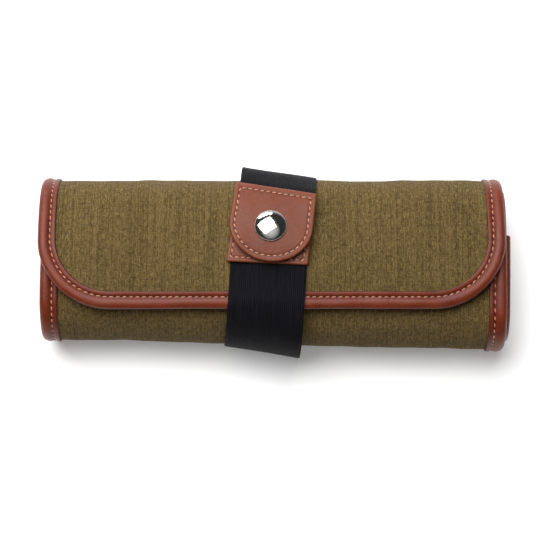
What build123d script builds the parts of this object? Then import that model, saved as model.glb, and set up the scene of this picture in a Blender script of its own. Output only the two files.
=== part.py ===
"""Canvas brush roll case, rolled up and held by a wrap-round elastic strap with a snap tab.

The frame: +X along the roll, +Y towards the side that the flap turns over, +Z up, and the origin
under the middle of the roll, on the surface that it lies on. Everything is in millimetres.

The roll is one long sheet wound about the X axis. Its section is a flattened spiral of tangent arcs:
a "right" arc on the +Y side, a straight bottom, a "left" arc on the -Y side and a shallow crown on
top, each turn one pitch inside the turn before. The end of the sheet that lies outermost is the flap.
"""

from build123d import *
import os
from math import acos, asin, atan2, cos, degrees, hypot, radians, sin

# The rolled section
end_centre = 19.5          # from the middle of the roll to the centres of its round ends
end_radius = 22.9          # outer canvas face on the +Y side
crown_radius = 110.0       # outer canvas face on top
turn_pitch = 5.6           # from one turn of the sheet to the next
sheet_end_angle = 84.0     # where the inner end of the sheet stops on the second crown

# The sheet and what is sewn to it
sheet_width = 232.6        # over both edge bindings
turn_shift = 2.0           # how far the flap and the roll have slid apart along X
canvas_thickness = 1.3
lining_thickness = 0.9
binding_width = 9.0
binding_outer_cheek = 1.6
binding_inner_cheek = 1.2
binding_edge = 1.5
panel_thickness = 0.9
panel_clearance = 0.1
pocket_depth = 136.0       # along the brushes, from the left binding
guard_depth = 74.0         # from the right binding
hem_width = 4.0
hem_thickness = 0.6
panel_start_angle = -60.0
panel_end_angle = 98.0

# The flap
flap_overhang = 8.0        # from the centre of the -Y end to the flap's tip
flap_corner_radius = 30.0
flap_hinge_angle = 40.0    # on the +Y end, up from the horizontal
hinge_gap = 0.5            # along the outer canvas face, between roll and flap

# The elastic strap
strap_width = 38.0
strap_thickness = 1.5
strap_room = 4.1           # from the canvas at the +Y side to the strap's outer face
strap_radius = 24.5        # outer face where it turns round the sides
strap_clearance = 0.1      # between the canvas and the strap's back run
strap_gap = 0.3            # between neighbouring lengths of elastic, and over the binding
strap_ramp = 4.0           # the length over which it climbs on to the flap's binding
strap_foot_angle = 7.0     # top of the back run, on the +Y side
strap_shoulder_angle = 44.0   # where it leaves the round side and runs straight to the tab
front_top_x = -1.6         # the middle of the elastic at the patch
front_low_x = -5.2         # the middle of the elastic at the -Y side
back_x = 3.1               # the middle of the elastic at the +Y side
shoulder_drift = 1.0       # how far it has moved along X where it meets the tab

# The leather patch on the flap and the leather tab on the strap
patch_width = 40.4
patch_low_y = -6.2
patch_high_y = 28.0
patch_thickness = 1.5
patch_turn = -3.0          # degrees about Z
tab_width = 41.0
tab_foot = 17.4            # from the snap to the rounded end
tab_top_y = 31.8
tab_hold = 3.0             # how far the elastic runs on under the tab
tab_face_thickness = 1.5
tab_backing_thickness = 0.8
tab_turn = -8.0

# The snap fastener
snap_x = -1.1
snap_y = 11.0
cap_radius = 8.0
cap_height = 2.8
cap_rim = 0.5
socket_radius = 5.6
socket_bore = 3.6
socket_height = 1.8
socket_roof = 0.5
snap_gap = 0.3
stud_radius = 2.4
stud_height = 1.3
stud_foot_radius = 3.1
stud_foot = 0.4
shank_radius = 1.2
shank_clearance = 0.1
rivet_flange_radius = 5.0
rivet_flange = 0.6
seat_gap = 0.2             # flat metal against the curved leather or lining

# Worked out from the sizes above
sheet_stack = canvas_thickness + lining_thickness
cheek_stack = sheet_stack + binding_inner_cheek
panel_stack = sheet_stack + panel_thickness
front_offset = binding_outer_cheek + strap_gap
patch_top = strap_thickness + patch_thickness
tab_offset = patch_top + snap_gap + socket_height
face_offset = tab_offset + tab_backing_thickness
face_top = face_offset + tab_face_thickness
flap_tip_y = -end_centre - flap_overhang
strap_half_span = end_centre + end_radius + strap_room
strap_centre = strap_half_span - strap_radius

roll_left = (turn_shift - sheet_width) / 2
roll_right = roll_left + sheet_width
flap_left = roll_left - turn_shift
flap_right = flap_left + sheet_width

# The roll lies on its bindings, or on the strap where that is thicker
roll_rise = max(binding_outer_cheek, strap_thickness + strap_clearance)
right_centre = (end_centre, roll_rise + end_radius)
left_centre = (-end_centre, right_centre[1] - turn_pitch / 2)
left_radius = end_radius + turn_pitch / 2

# The crown touches both end arcs from outside, so its centre is where two circles cross
reach_right = crown_radius - end_radius
reach_left = crown_radius - left_radius
centre_line = (left_centre[0] - right_centre[0], left_centre[1] - right_centre[1])
centre_span = hypot(*centre_line)
crown_turn = acos((reach_right**2 + centre_span**2 - reach_left**2) / (2 * reach_right * centre_span))
crown_heading = atan2(centre_line[1], centre_line[0]) % radians(360) + crown_turn
crown_centre = (
    right_centre[0] + reach_right * cos(crown_heading),
    right_centre[1] + reach_right * sin(crown_heading),
)
right_join = degrees(atan2(right_centre[1] - crown_centre[1], right_centre[0] - crown_centre[0]))
left_join = degrees(atan2(left_centre[1] - crown_centre[1], left_centre[0] - crown_centre[0]))

patch_end_angle = degrees(acos((patch_high_y + patch_top - right_centre[0]) / end_radius))
hinge_half_gap = degrees(hinge_gap / 2 / end_radius)
strap_half_gap = degrees(strap_gap / 2 / strap_radius)
plan_height = 90.0         # tall enough to pass through everything
top_left_angle = 150.0     # layers over the top are made between these and then cut in plan
top_right_angle = 10.0
run_out = 1.0              # degrees by which a cut runs out past the piece that it cuts
middle_height = right_centre[1]


def polar(centre, radius, angle):
    """The point of a circle at an angle in degrees."""
    return (centre[0] + radius * cos(radians(angle)), centre[1] + radius * sin(radians(angle)))


def arc_at(centre, radius, start, end):
    """Start, middle and end point of an arc."""
    return [polar(centre, radius, a) for a in (start, (start + end) / 2, end)]


def roll_path(inset, start_angle, end_angle):
    """Arcs of the sheet from the +Y side, twice round, to an angle of the second crown."""
    arcs = []
    for turn in (0, 1):
        depth = inset + turn * turn_pitch
        arcs.append(arc_at(right_centre, end_radius - depth, right_join if turn else start_angle, -90))
        arcs.append(arc_at(left_centre, left_radius - turn_pitch - depth, 270, left_join))
        crown_end = end_angle if turn else right_join
        arcs.append(arc_at(crown_centre, crown_radius - turn_pitch - depth, left_join, crown_end))
    return arcs


def top_path(inset, left_angle, right_angle):
    """Arcs of the outermost turn over the top, from the -Y side to the +Y side."""
    return [
        arc_at(left_centre, left_radius - inset, left_angle, left_join),
        arc_at(crown_centre, crown_radius - inset, left_join, right_join),
        arc_at(right_centre, end_radius - inset, right_join, right_angle),
    ]


def band(outer, inner):
    """A face between two paths of arcs that run side by side."""
    with BuildLine(Plane.XY) as outline:
        for path in (outer, inner):
            for arc in path:
                ThreePointArc(*arc)
            for arc, following in zip(path, path[1:]):
                if hypot(arc[2][0] - following[0][0], arc[2][1] - following[0][1]) > 0.001:
                    Line(arc[2], following[0])
        Line(outer[0][0], inner[0][0])
        Line(outer[-1][2], inner[-1][2])
    make_face(outline.edges())


def roll_band(start, end, shallow, deep, start_angle, end_angle):
    """A layer of the wound sheet, between two depths and two places along X."""
    with BuildSketch(Plane.YZ.offset(start)) as section:
        band(roll_path(shallow, start_angle, end_angle), roll_path(deep, start_angle, end_angle))
    extrude(section.sketch, amount=end - start)


def top_band(low, high, right_angle=top_right_angle, mode=Mode.ADD):
    """A layer that follows the top of the roll, between two heights over the outer canvas face."""
    with BuildSketch(Plane.YZ.offset(-sheet_width)) as section:
        band(top_path(-high, top_left_angle, right_angle), top_path(-low, top_left_angle, right_angle))
    extrude(section.sketch, amount=2 * sheet_width, mode=mode)


def flap_plan(inset):
    """The flap seen from above, its two free corners rounded, cut to a line inside its edge."""
    with BuildSketch(Plane.XY.offset(middle_height)) as plan:
        with BuildLine():
            left = flap_left + inset
            right = flap_right - inset
            low = flap_tip_y + inset
            radius = flap_corner_radius - inset
            high = end_centre + end_radius + strap_half_span
            Line((left, high), (left, low + radius))
            RadiusArc((left, low + radius), (left + radius, low), -radius)
            Line((left + radius, low), (right - radius, low))
            RadiusArc((right - radius, low), (right, low + radius), -radius)
            Line((right, low + radius), (right, high))
            Line((right, high), (left, high))
        make_face()
    return plan.sketch


def flap_layer(low, high, inset):
    """A layer of the flap: the top of the roll within the flap's plan, up to the hinge."""
    top_band(low, high, flap_hinge_angle + hinge_half_gap)
    extrude(flap_plan(inset), amount=plan_height, mode=Mode.INTERSECT)


def strap_plan(low_x, low_y, high_x, high_y):
    """A length of the strap seen from above: a band as wide as the elastic between two places."""
    half = strap_width / 2
    with BuildSketch(Plane.XY.offset(-strap_thickness)) as plan:
        with BuildLine():
            Polyline(
                (low_x - half, low_y),
                (low_x + half, low_y),
                (high_x + half, high_y),
                (high_x - half, high_y),
                close=True,
            )
        make_face()
    extrude(plan.sketch, amount=plan_height, mode=Mode.INTERSECT)


def strap_arc(side, start, end):
    """A length of the strap where it turns round the +Y side (1) or the -Y side (-1) of the roll."""
    centre = (side * strap_centre, strap_radius)
    inner = strap_radius - strap_thickness
    with BuildSketch(Plane.YZ.offset(-strap_width)) as section:
        band([arc_at(centre, strap_radius, start, end)], [arc_at(centre, inner, start, end)])
    extrude(section.sketch, amount=2 * strap_width)


def tab_layer(low, high):
    """A layer of the tab: straight sides, and a rounded end about the snap."""
    half = tab_width / 2
    top = tab_top_y - snap_y
    top_band(low, high)
    with BuildSketch(Plane((snap_x, snap_y, middle_height)).rotated((0, 0, tab_turn))) as plan:
        with BuildLine():
            Line((-half, 0), (-half, top))
            Line((-half, top), (half, top))
            Line((half, top), (half, 0))
            EllipticalCenterArc((0, 0), half, tab_foot, start_angle=180, arc_size=180)
        make_face()
    extrude(plan.sketch, amount=plan_height, mode=Mode.INTERSECT)
    shank_hole()


def along_snap(height):
    """A plane across the snap's axis, at a height over the outer canvas face."""
    lean = asin((snap_y - crown_centre[0]) / crown_radius)
    normal = (0, sin(lean), cos(lean))
    y, z = polar(crown_centre, crown_radius + height, degrees(atan2(cos(lean), sin(lean))))
    return Plane(origin=(snap_x, y, z), x_dir=(1, 0, 0), z_dir=normal)


def shank_hole():
    """The hole that the snap's shank passes through."""
    with BuildSketch(along_snap(-cheek_stack)) as hole:
        Circle(shank_radius + shank_clearance)
    extrude(hole.sketch, amount=face_top + cap_height + cheek_stack, mode=Mode.SUBTRACT)


def disc(height, radius, thickness, mode=Mode.ADD):
    """A round plate about the snap's axis, with its lower face at a height over the canvas."""
    with BuildSketch(along_snap(height)) as face:
        Circle(radius)
    extrude(face.sketch, amount=thickness, mode=mode)


roll_start = flap_hinge_angle - hinge_half_gap
binding_end = sheet_end_angle - degrees(binding_edge / crown_radius)
panel_left = roll_left + binding_width + panel_clearance
panel_right = roll_right - binding_width - panel_clearance
parts = {}

# The rolled sheet: canvas outside, lining inside
with BuildPart() as outer_canvas:
    roll_band(
        roll_left + binding_edge, roll_right - binding_edge,
        0, canvas_thickness, roll_start, sheet_end_angle,
    )
parts["outer_canvas"] = outer_canvas

with BuildPart() as lining:
    roll_band(
        roll_left + binding_edge, roll_right - binding_edge,
        canvas_thickness, sheet_stack, roll_start, sheet_end_angle,
    )
parts["lining"] = lining

# The brush pockets with their hem, and the guard that folds over the brush tips
with BuildPart() as pocket_panel:
    roll_band(
        panel_left, panel_left + pocket_depth,
        sheet_stack, panel_stack, panel_start_angle, panel_end_angle,
    )
parts["pocket_panel"] = pocket_panel

with BuildPart() as pocket_hem:
    roll_band(
        panel_left + pocket_depth - hem_width, panel_left + pocket_depth,
        panel_stack, panel_stack + hem_thickness, panel_start_angle, panel_end_angle,
    )
parts["pocket_hem"] = pocket_hem

with BuildPart() as tip_guard:
    roll_band(
        panel_right - guard_depth, panel_right,
        sheet_stack, panel_stack, panel_start_angle, panel_end_angle,
    )
parts["tip_guard"] = tip_guard


# The leather bindings fold round the sheet's edges
def edge_binding(start, groove_start):
    """A channel that holds one long edge of the sheet."""
    roll_band(
        start, start + binding_width,
        -binding_outer_cheek, cheek_stack, roll_start, binding_end,
    )
    with BuildSketch(Plane.YZ.offset(groove_start)) as groove:
        band(roll_path(0, roll_start, sheet_end_angle), roll_path(sheet_stack, roll_start, sheet_end_angle))
    extrude(groove.sketch, amount=binding_width - binding_edge, mode=Mode.SUBTRACT)


with BuildPart() as left_edge_binding:
    edge_binding(roll_left, roll_left + binding_edge)
parts["left_edge_binding"] = left_edge_binding

with BuildPart() as right_edge_binding:
    edge_binding(roll_right - binding_width, roll_right - binding_width)
parts["right_edge_binding"] = right_edge_binding

with BuildPart() as inner_end_binding:
    second_crown = crown_radius - 2 * turn_pitch
    over = second_crown + binding_outer_cheek
    under = second_crown - cheek_stack
    end_start = sheet_end_angle + degrees((binding_width - binding_edge) / crown_radius)
    with BuildSketch(Plane.YZ.offset(panel_left)):
        band(
            [arc_at(crown_centre, over, end_start, binding_end)],
            [arc_at(crown_centre, under, end_start, binding_end)],
        )
    extrude(amount=panel_right - panel_left)
    with BuildSketch(Plane.YZ.offset(panel_left)):
        band(
            [arc_at(crown_centre, second_crown, end_start + run_out, sheet_end_angle)],
            [arc_at(crown_centre, second_crown - sheet_stack, end_start + run_out, sheet_end_angle)],
        )
    extrude(amount=panel_right - panel_left, mode=Mode.SUBTRACT)
parts["inner_end_binding"] = inner_end_binding

# The flap: the outermost end of the same sheet
with BuildPart() as flap_canvas:
    flap_layer(-canvas_thickness, 0, binding_edge)
    shank_hole()
parts["flap_canvas"] = flap_canvas

with BuildPart() as flap_lining:
    flap_layer(-sheet_stack, -canvas_thickness, binding_edge)
    shank_hole()
parts["flap_lining"] = flap_lining

with BuildPart() as flap_window:
    extrude(flap_plan(binding_width), amount=plan_height)

with BuildPart() as flap_groove:
    flap_layer(-sheet_stack, 0, binding_edge)

with BuildPart() as flap_binding:
    flap_layer(-cheek_stack, binding_outer_cheek, 0)
    add(flap_window.part, mode=Mode.SUBTRACT)
    add(flap_groove.part, mode=Mode.SUBTRACT)
parts["flap_binding"] = flap_binding

# The strap, from the patch round the -Y side, the back and the +Y side to the tab
front_end_y = flap_tip_y - strap_gap - binding_outer_cheek
low_join = degrees(acos((flap_tip_y + binding_width + strap_gap - crown_centre[0]) / crown_radius))
climb = low_join - degrees(strap_ramp / crown_radius)
low_end = degrees(acos((front_end_y - left_centre[0]) / left_radius))


def front_path(height):
    """Arcs of the strap's front run: flat under the patch, then raised over the flap's binding."""
    raised = front_offset + height
    return [
        arc_at(right_centre, end_radius + height, patch_end_angle, right_join),
        arc_at(crown_centre, crown_radius + height, right_join, climb),
        arc_at(crown_centre, crown_radius + raised, low_join, left_join),
        arc_at(left_centre, left_radius + raised, left_join, low_end),
    ]


with BuildPart() as strap_front_run:
    with BuildSketch(Plane.YZ.offset(-strap_width)):
        band(front_path(0), front_path(strap_thickness))
    extrude(amount=2 * strap_width)
    strap_slant = (front_top_x - front_low_x) / (patch_low_y + strap_half_span)
    strap_plan(
        front_top_x - strap_slant * (patch_low_y - front_end_y + strap_radius), front_end_y - strap_radius,
        front_top_x + strap_slant * (patch_high_y - patch_low_y), patch_high_y,
    )
    shank_hole()
parts["strap_front_run"] = strap_front_run

with BuildPart() as strap_wrap_run:
    wrap_top = degrees(acos((front_end_y - strap_gap - strap_thickness + strap_centre) / strap_radius))
    strap_arc(-1, wrap_top, 270)
    strap_plan(front_low_x, -strap_half_span, front_top_x, patch_low_y)
parts["strap_wrap_run"] = strap_wrap_run

with BuildPart() as strap_back_run:
    strap_arc(1, -90, strap_foot_angle)
    with BuildSketch(Plane.YZ.offset(-strap_width)):
        with Locations((strap_gap / 2, strap_thickness / 2)):
            Rectangle(2 * strap_centre - strap_gap, strap_thickness)
    extrude(amount=2 * strap_width)
    strap_plan(front_low_x, -strap_half_span, back_x, strap_half_span)
parts["strap_back_run"] = strap_back_run

with BuildPart() as strap_shoulder_run:
    strap_arc(1, strap_foot_angle + 2 * strap_half_gap, strap_shoulder_angle - strap_half_gap)
    strap_plan(back_x - shoulder_drift, tab_top_y, back_x, strap_half_span)
parts["strap_shoulder_run"] = strap_shoulder_run

with BuildPart() as strap_tab_end:
    shoulder_plane = Plane(
        origin=(0, *polar((strap_centre, strap_radius), strap_radius, strap_shoulder_angle)),
        x_dir=(-1, 0, 0),
        z_dir=(0, cos(radians(strap_shoulder_angle)), sin(radians(strap_shoulder_angle))),
    )
    with BuildSketch(shoulder_plane):
        with Locations((0, strap_gap / 2)):
            Rectangle(2 * strap_width, strap_radius, align=(Align.CENTER, Align.MIN))
    extrude(amount=-strap_thickness)
    strap_plan(back_x - shoulder_drift, tab_top_y - tab_hold, back_x, strap_half_span)
    top_band(tab_offset, tab_offset + strap_radius, mode=Mode.SUBTRACT)
parts["strap_tab_end"] = strap_tab_end

# The leather patch that holds the strap's fixed end on the flap
with BuildPart() as leather_patch:
    top_band(strap_thickness, patch_top)
    with BuildSketch(
        Plane((front_top_x, (patch_low_y + patch_high_y) / 2, middle_height)).rotated((0, 0, patch_turn))
    ):
        Rectangle(patch_width, patch_high_y - patch_low_y)
    extrude(amount=plan_height, mode=Mode.INTERSECT)
    shank_hole()
parts["leather_patch"] = leather_patch

# The leather tab on the strap's free end
with BuildPart() as tab_backing:
    tab_layer(tab_offset, face_offset)
parts["tab_backing"] = tab_backing

with BuildPart() as tab_face:
    tab_layer(face_offset, face_top)
parts["tab_face"] = tab_face

# The snap: cap and socket on the tab, stud and rivet on the flap
cap_seat = along_snap(face_top)
with BuildPart() as snap_cap:
    with BuildSketch(Plane(origin=cap_seat.origin, x_dir=(1, 0, 0), z_dir=-cap_seat.y_dir)):
        with BuildLine():
            Line((0, 0), (cap_radius, 0))
            Line((cap_radius, 0), (cap_radius, cap_rim))
            rise = cap_height - cap_rim
            dome_radius = (cap_radius**2 + rise**2) / (2 * rise)
            RadiusArc((cap_radius, cap_rim), (0, cap_height), -dome_radius)
            Line((0, cap_height), (0, 0))
        make_face()
    revolve(axis=Axis(cap_seat.origin, cap_seat.z_dir))
    disc(tab_offset, shank_radius, face_top - tab_offset + cap_rim)
parts["snap_cap"] = snap_cap

with BuildPart() as snap_socket:
    socket_foot = patch_top + snap_gap
    disc(socket_foot, socket_radius, socket_height - seat_gap)
    disc(socket_foot, socket_bore, socket_height - seat_gap - socket_roof, Mode.SUBTRACT)
parts["snap_socket"] = snap_socket

with BuildPart() as snap_stud:
    disc(patch_top, stud_foot_radius, stud_foot)
    disc(patch_top, stud_radius, stud_height)
    disc(patch_top, shank_radius, stud_foot, Mode.SUBTRACT)
parts["snap_stud"] = snap_stud

with BuildPart() as stud_rivet:
    flange_top = -sheet_stack - seat_gap
    disc(flange_top - rivet_flange, rivet_flange_radius, rivet_flange)
    disc(flange_top, shank_radius, patch_top + stud_foot - flange_top)
parts["stud_rivet"] = stud_rivet

os.makedirs("parts", exist_ok=True)
for name, piece in parts.items():
    piece.part.label = name
    export_step(piece.part, f"parts/{name}.step")

hinge_y, hinge_z = polar(right_centre, end_radius + front_offset, flap_hinge_angle)
foot_y, foot_z = polar((strap_centre, strap_radius), strap_radius + strap_gap, strap_foot_angle)
shoulder_y, shoulder_z = polar((strap_centre, strap_radius), strap_radius, strap_shoulder_angle)
print(f"flap hinge y {hinge_y:.2f} z {hinge_z:.2f}")
print(f"strap foot y {foot_y:.2f} z {foot_z:.2f}")
print(f"strap shoulder y {shoulder_y:.2f} z {shoulder_z:.2f}")
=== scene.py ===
"""Brush roll case: the looks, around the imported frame. Metres, in the frame of the CAD model.

The rolled sheet is described by a path in the YZ plane, from the flap's tip over the top and twice
round to its inner end. A place on the sheet is (x, s, d): along the roll, along the path, and
outwards from the outer canvas face. Every layer, binding and stitch of the sheet is made there.
"""
import math
import bpy
import numpy as np
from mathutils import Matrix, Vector


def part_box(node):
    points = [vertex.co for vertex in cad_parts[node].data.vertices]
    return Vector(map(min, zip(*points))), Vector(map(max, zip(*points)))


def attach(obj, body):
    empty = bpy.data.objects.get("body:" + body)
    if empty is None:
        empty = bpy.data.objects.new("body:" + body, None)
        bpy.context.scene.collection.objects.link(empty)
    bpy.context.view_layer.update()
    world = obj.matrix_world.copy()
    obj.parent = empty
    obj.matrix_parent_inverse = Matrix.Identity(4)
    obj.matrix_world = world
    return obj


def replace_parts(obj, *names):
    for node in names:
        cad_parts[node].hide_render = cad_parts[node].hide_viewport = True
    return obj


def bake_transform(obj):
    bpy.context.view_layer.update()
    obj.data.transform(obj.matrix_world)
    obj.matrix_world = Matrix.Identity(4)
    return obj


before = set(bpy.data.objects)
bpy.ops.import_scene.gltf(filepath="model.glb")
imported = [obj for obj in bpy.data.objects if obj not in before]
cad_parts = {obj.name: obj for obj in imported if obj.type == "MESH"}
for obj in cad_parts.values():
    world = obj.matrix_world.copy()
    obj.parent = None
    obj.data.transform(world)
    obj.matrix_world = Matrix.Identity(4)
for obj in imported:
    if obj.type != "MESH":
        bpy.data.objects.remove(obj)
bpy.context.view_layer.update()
MM = 0.001

# ---- sizes, worked out from the frame
canvas_low, canvas_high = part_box("outer_canvas")
left_low, left_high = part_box("left_edge_binding")
right_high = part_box("right_edge_binding")[1]
flap_low, flap_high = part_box("flap_binding")
cap_low, cap_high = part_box("snap_cap")

FINE = 0.25 * MM
ROW = 1.6 * MM
END_RADIUS = 22.9 * MM
CROWN_RADIUS = 110.0 * MM
CANVAS = 1.3 * MM
LINING = 0.9 * MM
PANEL = 0.9 * MM
STACK = CANVAS + LINING
END_CENTRE = canvas_high[1] - END_RADIUS
PITCH = 2 * (canvas_high[1] + canvas_low[1])
HALF_WIDTH = (right_high[0] - left_low[0]) / 2
FLAP_SHIFT = (flap_low[0] + flap_high[0]) / 2
BINDING_WIDTH = left_high[0] - left_low[0]
TURN_IN = 1.6 * MM
CORNER = 36.0 * MM
TIP_Y = flap_low[1] - 1.5 * MM
SHEET_END = 84.0
STRAP_HALF = 19.0 * MM
STRAP_THICK = 1.5 * MM
STRAP_RADIUS = 24.5 * MM
STRAP_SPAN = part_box("strap_back_run")[1][1]
STITCH_PITCH = 3.2 * MM
CAP_HEIGHT = 7.9 * MM
SNAP = Vector((
    (cap_low[0] + cap_high[0]) / 2,
    (cap_low[1] + cap_high[1]) / 2 / (1 + CAP_HEIGHT / CROWN_RADIUS),
    0,
))

RIGHT = np.array([END_CENTRE, canvas_low[2] + END_RADIUS])
LEFT = np.array([-END_CENTRE, RIGHT[1] - PITCH / 2])
LEFT_RADIUS = END_RADIUS + PITCH / 2


def crown_centre():
    """The centre of the crown's arc, which touches both end arcs."""
    to_right, to_left = CROWN_RADIUS - END_RADIUS, CROWN_RADIUS - LEFT_RADIUS
    gap = LEFT - RIGHT
    span = float(np.hypot(*gap))
    turn = math.acos((to_right**2 + span**2 - to_left**2) / (2 * to_right * span))
    heading = math.atan2(gap[1], gap[0]) % math.tau + turn
    return RIGHT + to_right * np.array([math.cos(heading), math.sin(heading)])


CROWN = crown_centre()
RIGHT_JOIN = math.degrees(math.atan2(*(RIGHT - CROWN)[::-1]))
LEFT_JOIN = math.degrees(math.atan2(*(LEFT - CROWN)[::-1]))


class Path:
    """A smooth line in the YZ plane, sampled finely, with its outward normal."""

    def __init__(self):
        self.points, self.normals, self.marks = [], [], {}

    def run(self, points, normals):
        """A run given point by point."""
        self.points.append(points)
        self.normals.append(normals)
        return self

    def arc(self, centre, radius, start, end):
        """An arc between two angles in degrees."""
        count = max(2, int(radius * abs(math.radians(end - start)) / FINE))
        angles = np.radians(np.linspace(start, end, count))
        out = np.stack([np.cos(angles), np.sin(angles)], 1)
        return self.run(np.asarray(centre) + radius * out, out)

    def line(self, start, end, normal):
        """A straight run."""
        start, end = np.asarray(start, float), np.asarray(end, float)
        count = max(2, int(np.hypot(*(end - start)) / FINE))
        along = np.linspace(0, 1, count)[:, None]
        return self.run(start + (end - start) * along, np.repeat([normal], count, 0).astype(float))

    def mark(self, name):
        """Names the place where the path ends so far."""
        self.marks[name] = sum(len(p) for p in self.points) - 1
        return self

    def done(self, smooth=0):
        """Joins the runs, and rounds what little kinks they leave."""
        p, n = np.concatenate(self.points), np.concatenate(self.normals)
        if smooth:
            kernel = np.hanning(2 * smooth + 3)[1:-1]
            kernel /= kernel.sum()
            pad = [(smooth, smooth), (0, 0)]
            longer = np.pad(p, pad, "reflect", reflect_type="odd")
            p = np.stack([np.convolve(c, kernel, "valid") for c in longer.T], 1)
            n = np.stack([np.convolve(c, kernel, "valid") for c in np.pad(n, pad, "edge").T], 1)
        n /= np.linalg.norm(n, axis=1)[:, None]
        self.p, self.n = p, n
        self.s = np.concatenate([[0], np.cumsum(np.hypot(*np.diff(p, axis=0).T))])
        self.marks = {k: float(self.s[i]) for k, i in self.marks.items()}
        self.length = float(self.s[-1])
        return self

    def at(self, s):
        """(y, z) and the normal at lengths s."""
        p = np.stack([np.interp(s, self.s, self.p[:, i]) for i in (0, 1)], -1)
        n = np.stack([np.interp(s, self.s, self.n[:, i]) for i in (0, 1)], -1)
        return p, n / np.linalg.norm(n, axis=-1, keepdims=True)


def polar(centre, radius, angle):
    """The point at an angle in degrees on a circle."""
    angle = math.radians(angle)
    return np.asarray(centre) + radius * np.array([math.cos(angle), math.sin(angle)])


def sheet_path():
    """The outer canvas face from the flap's tip to the inner end of the sheet."""
    path = Path()
    tip = math.degrees(math.acos((TIP_Y - LEFT[0]) / LEFT_RADIUS))
    path.arc(LEFT, LEFT_RADIUS, tip, LEFT_JOIN)
    path.arc(CROWN, CROWN_RADIUS, LEFT_JOIN, RIGHT_JOIN)
    fold_angle = 40
    path.arc(RIGHT, END_RADIUS, RIGHT_JOIN, fold_angle).mark("fold")
    path.arc(RIGHT, END_RADIUS, fold_angle, 0).mark("side")
    for turn in (0, 1):
        depth = turn * PITCH
        path.arc(RIGHT, END_RADIUS - depth, RIGHT_JOIN if turn else 0, -90)
        path.line(
            polar(RIGHT, END_RADIUS - depth, -90),
            polar(LEFT, LEFT_RADIUS - PITCH - depth, -90),
            (0, -1),
        )
        path.arc(LEFT, LEFT_RADIUS - PITCH - depth, 270, LEFT_JOIN).mark(f"left{turn}")
        path.arc(CROWN, CROWN_RADIUS - PITCH - depth, LEFT_JOIN, SHEET_END if turn else RIGHT_JOIN)
    return path.done()


# The sheet is cut into flap and roll at SIDE, and LAP is where its first turn comes under the flap
SHEET = sheet_path()
SIDE, LAP = SHEET.marks["side"], SHEET.marks["left0"]
TOP = SHEET.s[SHEET.s < SHEET.marks["fold"] + 4 * MM]
TOP_Y = SHEET.p[: len(TOP), 0]


def s_of_y(y):
    """The place along the sheet under a point of the top."""
    return np.interp(y, TOP_Y, TOP)


def smoothstep(low, high, value):
    """Eases from 0 at low to 1 at high."""
    t = np.clip((value - low) / (high - low), 0, 1)
    return t * t * (3 - 2 * t)


def bell(distance, width):
    """1 at no distance, falling away over a width."""
    return np.exp(-((distance / width) ** 2))


def waves(x, s, seed, size, count=7):
    """A smooth, seeded unevenness between about -1 and 1, with features of about the given size."""
    rng = np.random.default_rng(seed)
    total = 0
    for _ in range(count):
        angle, phase = rng.uniform(0, math.tau, 2)
        reach = math.tau / (size * rng.uniform(0.7, 1.6))
        total = total + np.sin(reach * (x * math.cos(angle) + s * math.sin(angle)) + phase)
    return total / math.sqrt(count)


def drift(s):
    """How far the turns of the sheet have slid along X."""
    stations = [0, SIDE, LAP, SHEET.marks["left1"], SHEET.length]
    flap_slide = FLAP_SHIFT + 0.45 * MM
    return np.interp(s, stations, [flap_slide, flap_slide, 0.2 * MM, 2.4 * MM, 3.2 * MM])


def slack(x, s):
    """The sheet's own unevenness, outwards: waves, ripples by the lap, and a swell beside the strap."""
    outer = 1 - smoothstep(LAP - 12 * MM, LAP + 10 * MM, s)
    large, small, ripple, swell = 0.30 * MM, 0.14 * MM, 0.30 * MM, 0.5 * MM
    inner_share, outer_share = 0.18, 0.82
    bump = large * waves(x, s, 3, 52 * MM) + small * waves(x, s, 8, 19 * MM)
    low = bell(s - LAP + 9 * MM, 13 * MM)
    bump = bump + ripple * low * waves(0.45 * x, 2.4 * s, 17, 24 * MM)
    side = bell(x - SNAP.x, 34 * MM) - bell(x - SNAP.x, 22 * MM)
    return bump * (inner_share + outer_share * outer) + swell * side * outer


def place(x, s, d):
    """Points of the sheet in the frame, for arrays x, s and d of one shape.

    The round sides draw in at the roll's ends, and the -Y side stands out and tapers along the roll."""
    draw_in, stand_out, taper, stretch = 1.3 * MM, 2.2 * MM, 3.0 * MM, 1.004
    floor = 0.02 * MM
    x, s, d = np.broadcast_arrays(np.asarray(x, float), np.asarray(s, float), np.asarray(d, float))
    p, n = SHEET.at(s)
    ends = smoothstep(107 * MM, HALF_WIDTH, np.abs(x)) * n[..., 0] ** 2 * (s < LAP + 5 * MM)
    out = d + slack(x, s) - draw_in * ends
    y, z = p[..., 0] + n[..., 0] * out, p[..., 1] + n[..., 1] * out
    rolled = smoothstep(SIDE, SIDE + 20 * MM, s) * smoothstep(-6 * MM, -34 * MM, y)
    y = y - rolled * (stand_out + taper * x / HALF_WIDTH)
    return np.stack([stretch * x + drift(s), y, np.maximum(z, floor)], -1)


def place_normal(s):
    """The outward normal of the sheet."""
    n = SHEET.at(np.asarray(s, float))[1]
    return np.stack([np.zeros(n.shape[:-1]), n[..., 0], n[..., 1]], -1)


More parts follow.
